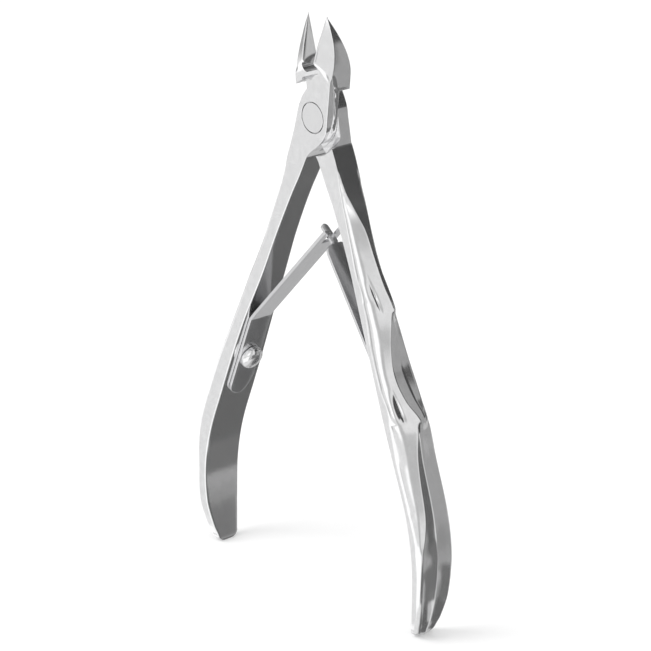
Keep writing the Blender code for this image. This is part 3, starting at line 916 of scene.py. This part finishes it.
def screw(name, side, material, node, body):
    """A slotted screw with a low dome and a rounded rim."""
    under = LEAF + 2 * LEAF_GAP
    top = under + SCREW_HEAD
    radius = SCREW_HEAD_RADIUS
    profile = [
        (SCREW_SHANK_RADIUS, -SCREW_LENGTH),
        (SCREW_SHANK_RADIUS, under),
        (radius - 1.25 * SCREW_RIM, under),
        (radius - SCREW_RIM / 2, under + SCREW_RIM / 4),
        (radius, under + SCREW_RIM),
        (radius, top - SCREW_DOME),
    ]
    for k in range(1, SCREW_DOME_RINGS):
        turn = math.pi / 2 * k / SCREW_DOME_RINGS
        profile.append((radius * math.cos(turn) ** 0.9, top - SCREW_DOME + SCREW_DOME * math.sin(turn)))
    obj = turned(name, profile)
    reach, wide = radius + 1, SCREW_SLOT / 2
    outline = [(-reach, -wide), (reach, -wide), (reach, wide), (-reach, wide)]
    slot = loft(f"{name}_slot", [[(x, y, z) for x, y in outline] for z in (top - SCREW_SLOT_DEPTH, top + 1)])
    slot.matrix_world = Matrix.Rotation(SCREW_SLOT_TURN, 4, "Z")
    cut(obj, slot)
    inner, down = inner_slope(SCREW_HEIGHT)
    out = Vector((down.z * side, 0, -down.x))
    place = Matrix.Translation(Vector((side * inner, MIDDLE_Y, SCREW_HEIGHT)) * MM)
    obj.matrix_world = place @ out.to_track_quat("Z", "Y").to_matrix().to_4x4()
    finish(obj, material, node)
    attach(obj, body)


# Materials: sizes in metres, and scales per metre

METALLIC = 0.96
EDGE_WEAR = 0.00007
EDGE_WEAR_SAMPLES = 6
FORGED_DARK = (0.80, 0.80, 0.805)
FORGED_LIGHT = (0.85, 0.85, 0.855)
FORGED_STREAKS = (9000, 9000, 500)
FORGED_WAVES = (120, 120, 70)
FORGED_GRAIN = (3000, 3000, 14000)
FORGED_ROUGHNESS = 0.04
WAVE_HEIGHT = 0.00005
STREAK_HEIGHT = 0.0000012
PIN_COLOUR = (0.83, 0.83, 0.835)
PIN_ROUGHNESS = 0.1
PIN_RINGS = 16000
SCREW_COLOUR = (0.86, 0.86, 0.865)
SCREW_ROUGHNESS = 0.06
SCREW_RINGS = 12000
RING_HEIGHT = 0.0000015
SPRING_DARK = (0.66, 0.66, 0.67)
SPRING_LIGHT = (0.76, 0.76, 0.77)
SPRING_LINES = (260, 16000, 260)
SPRING_ROUGHNESS = 0.10
LINE_HEIGHT = 0.000002


class Graph:
    """Short names for making a material's or the world's nodes."""

    def __init__(self, owner):
        owner.use_nodes = True
        self.tree = owner.node_tree
        self.tree.nodes.clear()

    def node(self, kind, **settings):
        made = self.tree.nodes.new(kind)
        for key, value in settings.items():
            setattr(made, key, value)
        return made

    def link(self, value, socket):
        if isinstance(value, bpy.types.NodeSocket):
            self.tree.links.new(value, socket)
        else:
            socket.default_value = value

    def math(self, operation, *values, clamp=False):
        made = self.node("ShaderNodeMath", operation=operation, use_clamp=clamp)
        for value, socket in zip(values, made.inputs):
            self.link(value, socket)
        return made.outputs[0]

    def vector(self, operation, *values, out=0):
        made = self.node("ShaderNodeVectorMath", operation=operation)
        for value, socket in zip(values, made.inputs):
            self.link(value, socket)
        return made.outputs[out]

    def spread(self, value, low, high, to_low, to_high):
        made = self.node("ShaderNodeMapRange", interpolation_type="SMOOTHSTEP")
        for socket, given in zip(made.inputs, (value, low, high, to_low, to_high)):
            self.link(given, socket)
        return made.outputs[0]

    def noise(self, vector, scale, detail=3.0, roughness=0.5):
        made = self.node("ShaderNodeTexNoise")
        self.link(vector, made.inputs["Vector"])
        self.link(scale, made.inputs["Scale"])
        self.link(detail, made.inputs["Detail"])
        self.link(roughness, made.inputs["Roughness"])
        return made.outputs[0]

    def colour(self, share, low, high):
        made = self.node("ShaderNodeMix", data_type="RGBA")
        self.link(share, made.inputs[0])
        self.link((*low, 1), made.inputs[6])
        self.link((*high, 1), made.inputs[7])
        return made.outputs[2]

    def bump(self, height, distance, strength=1.0, normal=None):
        made = self.node("ShaderNodeBump")
        self.link(strength, made.inputs["Strength"])
        self.link(distance, made.inputs["Distance"])
        self.link(height, made.inputs["Height"])
        if normal is not None:
            self.link(normal, made.inputs["Normal"])
        return made.outputs[0]

    def worn_edges(self, radius):
        made = self.node("ShaderNodeBevel", samples=EDGE_WEAR_SAMPLES)
        self.link(radius, made.inputs["Radius"])
        return made.outputs[0]

    def steel(self, colour, roughness, normal):
        shader = self.node("ShaderNodeBsdfPrincipled")
        self.link(colour, shader.inputs["Base Color"])
        self.link(METALLIC, shader.inputs["Metallic"])
        self.link(roughness, shader.inputs["Roughness"])
        self.link(normal, shader.inputs["Normal"])
        output = self.node("ShaderNodeOutputMaterial")
        self.tree.links.new(shader.outputs[0], output.inputs[0])


def stretched(graph, place, scales):
    """The place on the object with each axis scaled, so that a noise of it runs in streaks."""
    return graph.vector("MULTIPLY", place, scales)


def polished_steel():
    """Forged steel polished by hand: fine streaks along the handles, soft waves, a satin ground lap joint."""
    material = bpy.data.materials.new("polished_forged_steel")
    graph = Graph(material)
    place = graph.node("ShaderNodeTexCoord").outputs["Object"]
    streaks = graph.noise(stretched(graph, place, FORGED_STREAKS), 1.0, 4.0, 0.6)
    smudges = graph.noise(place, 160.0, 3.0, 0.55)
    waves = graph.noise(stretched(graph, place, FORGED_WAVES), 1.0, 2.0, 0.4)
    geometry = graph.node("ShaderNodeNewGeometry")
    facing = graph.math("ABSOLUTE", graph.vector("DOT_PRODUCT", geometry.outputs["Normal"], (0, 1, 0), out=1))
    flat = graph.spread(facing, 0.985, 0.998, 0.0, 1.0)
    grain = graph.noise(stretched(graph, place, FORGED_GRAIN), 1.0, 3.0, 0.7)
    wear = graph.noise(place, 700.0, 5.0, 0.65)
    roughness = graph.math("MULTIPLY_ADD", streaks, 0.10, FORGED_ROUGHNESS)
    roughness = graph.math("MULTIPLY_ADD", smudges, 0.05, roughness)
    roughness = graph.math("MULTIPLY_ADD", flat, graph.math("MULTIPLY", grain, 0.16), roughness)
    colour = graph.colour(graph.spread(wear, 0.35, 0.7, 0.0, 1.0), FORGED_DARK, FORGED_LIGHT)
    normal = graph.bump(waves, WAVE_HEIGHT, 0.3, graph.worn_edges(EDGE_WEAR))
    normal = graph.bump(streaks, STREAK_HEIGHT, 0.6, normal)
    graph.steel(colour, roughness, normal)
    return material


def turned_steel(name, colour, roughness, ring_scale, axis_z):
    """Steel with fine turning rings about the piece's own axis."""
    material = bpy.data.materials.new(name)
    graph = Graph(material)
    place = graph.node("ShaderNodeTexCoord").outputs["Object"]
    across = graph.vector("MULTIPLY", place, (1, 1, 0) if axis_z else (1, 0, 1))
    radius = graph.vector("LENGTH", across, out=1)
    rings = graph.node("ShaderNodeCombineXYZ")
    graph.link(graph.math("MULTIPLY", radius, ring_scale), rings.inputs[0])
    marks = graph.noise(rings.outputs[0], 1.0, 3.0, 0.6)
    smudges = graph.noise(place, 900.0, 4.0, 0.6)
    shine = graph.math("MULTIPLY_ADD", marks, 0.12, roughness)
    shine = graph.math("MULTIPLY_ADD", smudges, 0.08, shine)
    tint = graph.colour(smudges, tuple(c * 0.93 for c in colour), colour)
    normal = graph.bump(marks, RING_HEIGHT, 0.7, graph.worn_edges(0.7 * EDGE_WEAR))
    graph.steel(tint, shine, normal)
    return material


def brushed_spring_steel():
    """Spring steel brushed along the leaf, in faint patches."""
    material = bpy.data.materials.new("brushed_spring_steel")
    graph = Graph(material)
    place = graph.node("ShaderNodeTexCoord").outputs["Object"]
    lines = graph.noise(stretched(graph, place, SPRING_LINES), 1.0, 4.0, 0.65)
    patches = graph.noise(place, 350.0, 4.0, 0.55)
    roughness = graph.math("MULTIPLY_ADD", lines, 0.14, SPRING_ROUGHNESS)
    roughness = graph.math("MULTIPLY_ADD", patches, 0.08, roughness)
    colour = graph.colour(patches, SPRING_DARK, SPRING_LIGHT)
    normal = graph.bump(lines, LINE_HEIGHT, 0.7)
    graph.steel(colour, roughness, normal)
    return material


# Studio

ROOM_LIGHT = 1.08
BACKDROP_LIGHT = 1.0
FLOOR_NEAR = 0.25
FLOOR_FAR = 0.9
FLOOR_HALF_SIZE = 2500.0
KEY_LIGHT_PLACE = (-0.5, -0.9, 1.0)
KEY_LIGHT_AIM = (0.0, 0.0, -0.04)
KEY_LIGHT_SIZE = 0.9
KEY_LIGHT_POWER = 9.0

# Upright panels of the room that the steel mirrors, each over the ones before it: left and right azimuth in
# degrees (0 behind the nipper, 90 to its right), low and high as the height of a unit direction, how soft the
# sides and the ends are, and the brightness
GREY_PANELS = (
    (-75, 66, -1.2, 1.2, 5, 0.04, 0.46),
    (-75, 66, -1.2, -0.44, 5, 0.05, 0.68),
    (-50, -12, -1.2, -0.5, 6, 0.06, 0.68),
    (-14, 14, -0.06, 0.35, 4, 0.04, 0.14),
    (14, 40, -0.36, -0.2, 4, 0.06, 0.36),
    (-14, 22, -0.38, -0.16, 4, 0.04, 0.72),
    (-60, -17, -0.44, -0.16, 4, 0.04, 0.08),
    (-15, 40, 0.5, 0.86, 6, 0.05, 0.14),
    (36, 66, 0.16, 0.8, 3, 0.02, 0.05),
    (53, 66, -0.36, 0.2, 3, 0.04, 0.13),
    (-75, 110, 0.82, 1.2, 20, 0.1, 0.9),
)
DARK_SPOT = (0.30, 0.60, -0.73)
DARK_SPOT_INNER = 11
DARK_SPOT_OUTER = 19
DARK_SPOT_LIGHT = 0.15
SIDE_AND_FRONT_PANELS = (
    (56, 100, -0.5, -0.26, 3, 0.04, 0.2),
    (30, 100, -0.64, -0.44, 3, 0.03, 0.2),
    (88, 106, -0.3, 0.8, 5, 0.1, 0.7),
    (174, 200, -0.16, 0.08, 3, 0.05, 0.6),
    (-200, -170, -0.16, 0.08, 4, 0.05, 0.6),
    (112, 200, -0.75, -0.16, 6, 0.06, 1.6),
    (112, 150, 0.12, 0.56, 5, 0.04, 1.6),
    (-200, -147, -0.75, -0.16, 5, 0.06, 1.6),
    (-100, -72, -0.2, 0.9, 8, 0.1, 0.35),
    (-116, -72, -0.75, -0.2, 5, 0.06, 1.6),
)


def studio_world():
    """Pale to the camera; the mirrored steel sees a bright room with grey and white panels in it."""
    world = bpy.data.worlds.new("studio")
    bpy.context.scene.world = world
    graph = Graph(world)
    direction = graph.vector("NORMALIZE", graph.node("ShaderNodeTexCoord").outputs["Generated"])
    parts = graph.node("ShaderNodeSeparateXYZ")
    graph.link(direction, parts.inputs[0])
    x, y, z = parts.outputs
    azimuth = graph.math("ARCTAN2", x, y)

    def spot(towards, inner, outer):
        """One within the inner angle of a direction, falling to nothing at the outer angle."""
        towards = Vector(towards).normalized()
        along = graph.vector("DOT_PRODUCT", direction, tuple(towards), out=1)
        return graph.spread(along, math.cos(math.radians(outer)), math.cos(math.radians(inner)), 0.0, 1.0)

    def panel(left, right, low, high, soft, soft_height):
        """One on an upright panel between two azimuths and two heights, with soft edges."""
        left, right, soft = (math.radians(angle) for angle in (left, right, soft))
        sides = graph.math(
            "MULTIPLY",
            graph.spread(azimuth, left - soft, left + soft, 0.0, 1.0),
            graph.spread(azimuth, right - soft, right + soft, 1.0, 0.0),
        )
        ends = graph.math(
            "MULTIPLY",
            graph.spread(z, low - soft_height, low + soft_height, 0.0, 1.0),
            graph.spread(z, high - soft_height, high + soft_height, 1.0, 0.0),
        )
        return graph.math("MULTIPLY", sides, ends)

    def over(level, share, brightness):
        """The brightness of the room with one more surface in front of it."""
        fade = graph.node("ShaderNodeMix", data_type="FLOAT")
        graph.link(share, fade.inputs[0])
        graph.link(level, fade.inputs[2])
        graph.link(brightness, fade.inputs[3])
        return fade.outputs[0]

    level = ROOM_LIGHT
    for *extent, brightness in GREY_PANELS:
        level = over(level, panel(*extent), brightness)
    level = over(level, spot(DARK_SPOT, DARK_SPOT_INNER, DARK_SPOT_OUTER), DARK_SPOT_LIGHT)
    for *extent, brightness in SIDE_AND_FRONT_PANELS:
        level = over(level, panel(*extent), brightness)

    rays = graph.node("ShaderNodeLightPath")
    mirrored = graph.node("ShaderNodeBackground")
    graph.link(level, mirrored.inputs["Strength"])
    plain = graph.node("ShaderNodeBackground")
    graph.link((1, 1, 1, 1), plain.inputs["Color"])
    graph.link(BACKDROP_LIGHT, plain.inputs["Strength"])
    mix = graph.node("ShaderNodeMixShader")
    graph.link(rays.outputs["Is Glossy Ray"], mix.inputs[0])
    graph.tree.links.new(plain.outputs[0], mix.inputs[1])
    graph.tree.links.new(mirrored.outputs[0], mix.inputs[2])
    output = graph.node("ShaderNodeOutputWorld")
    graph.tree.links.new(mix.outputs[0], output.inputs[0])


def studio_floor():
    """A wide pale floor under the handles, fading into the backdrop. The steel doesn't mirror it."""
    bottom = CAD_BOX[0].z
    bm = bmesh.new()
    bmesh.ops.create_grid(bm, x_segments=40, y_segments=40, size=FLOOR_HALF_SIZE)
    bmesh.ops.translate(bm, verts=bm.verts, vec=(0, 0, bottom / MM))
    floor = new_object("studio_floor", bm)
    material = bpy.data.materials.new("pale_floor")
    graph = Graph(material)
    place = graph.node("ShaderNodeTexCoord").outputs["Object"]
    mottle = graph.noise(place, 6.0, 2.0, 0.5)
    near = graph.node("ShaderNodeBsdfDiffuse")
    graph.link(graph.colour(mottle, (0.90, 0.90, 0.90), (0.92, 0.92, 0.92)), near.inputs["Color"])
    far = graph.node("ShaderNodeEmission")
    graph.link(BACKDROP_LIGHT, far.inputs["Strength"])
    mix = graph.node("ShaderNodeMixShader")
    distance = graph.vector("LENGTH", place, out=1)
    graph.link(graph.spread(distance, FLOOR_NEAR, FLOOR_FAR, 0.0, 1.0), mix.inputs[0])
    graph.tree.links.new(near.outputs[0], mix.inputs[1])
    graph.tree.links.new(far.outputs[0], mix.inputs[2])
    output = graph.node("ShaderNodeOutputMaterial")
    graph.tree.links.new(mix.outputs[0], output.inputs[0])
    floor.data.materials.append(material)
    floor.visible_glossy = False


def softbox(name, place, aim, size, power):
    light = bpy.data.lights.new(name, "AREA")
    light.shape = "DISK"
    light.size = size
    light.energy = power
    obj = bpy.data.objects.new(name, light)
    obj.location = place
    obj.rotation_euler = (Vector(aim) - Vector(place)).to_track_quat("-Z", "Y").to_euler()
    obj.visible_glossy = False
    bpy.context.scene.collection.objects.link(obj)


CAMERA_AZIMUTH = math.radians(47.488)
CAMERA_ELEVATION = math.radians(20.70)
CAMERA_ROLL = math.radians(0.293)
CAMERA_DISTANCE = 493.093
AIM_RIGHT = 0.725
AIM_UP = -38.272
LENS = 149.75
SENSOR_WIDTH = 36.0
NEAREST = 0.01
FURTHEST = 20.0


def studio_camera():
    a, e = CAMERA_AZIMUTH, CAMERA_ELEVATION
    back = Vector((math.sin(a) * math.cos(e), -math.cos(a) * math.cos(e), math.sin(e)))
    right = Vector((math.cos(a), math.sin(a), 0))
    up = back.cross(right)
    place = right * AIM_RIGHT + up * AIM_UP + back * CAMERA_DISTANCE
    place.y += MIDDLE_Y
    across = right * math.cos(CAMERA_ROLL) + up * math.sin(CAMERA_ROLL)
    upward = -right * math.sin(CAMERA_ROLL) + up * math.cos(CAMERA_ROLL)
    data = bpy.data.cameras.new("camera")
    data.lens = LENS
    data.sensor_width = SENSOR_WIDTH
    data.clip_start = NEAREST
    data.clip_end = FURTHEST
    camera = bpy.data.objects.new("camera", data)
    axes = Matrix((across, upward, back)).transposed().to_4x4()
    camera.matrix_world = Matrix.Translation(place * MM) @ axes
    bpy.context.scene.collection.objects.link(camera)
    bpy.context.scene.camera = camera


def main():
    forged = polished_steel()
    half("front_half", -1, False, forged, "front_half_body")
    half("back_half", 1, True, forged, "back_half_body")
    rivet(turned_steel("ground_pin_steel", PIN_COLOUR, PIN_ROUGHNESS, PIN_RINGS, False))
    springs(brushed_spring_steel())
    bright = turned_steel("bright_screw_steel", SCREW_COLOUR, SCREW_ROUGHNESS, SCREW_RINGS, True)
    screw("left_spring_screw_visual", -1, bright, "left_spring_screw", "front_half_body")
    screw("right_spring_screw_visual", 1, bright, "right_spring_screw", "back_half_body")
    studio_world()
    studio_floor()
    softbox("key_light", KEY_LIGHT_PLACE, KEY_LIGHT_AIM, KEY_LIGHT_SIZE, KEY_LIGHT_POWER)
    studio_camera()
    bpy.context.scene.view_settings.view_transform = "Standard"


main()
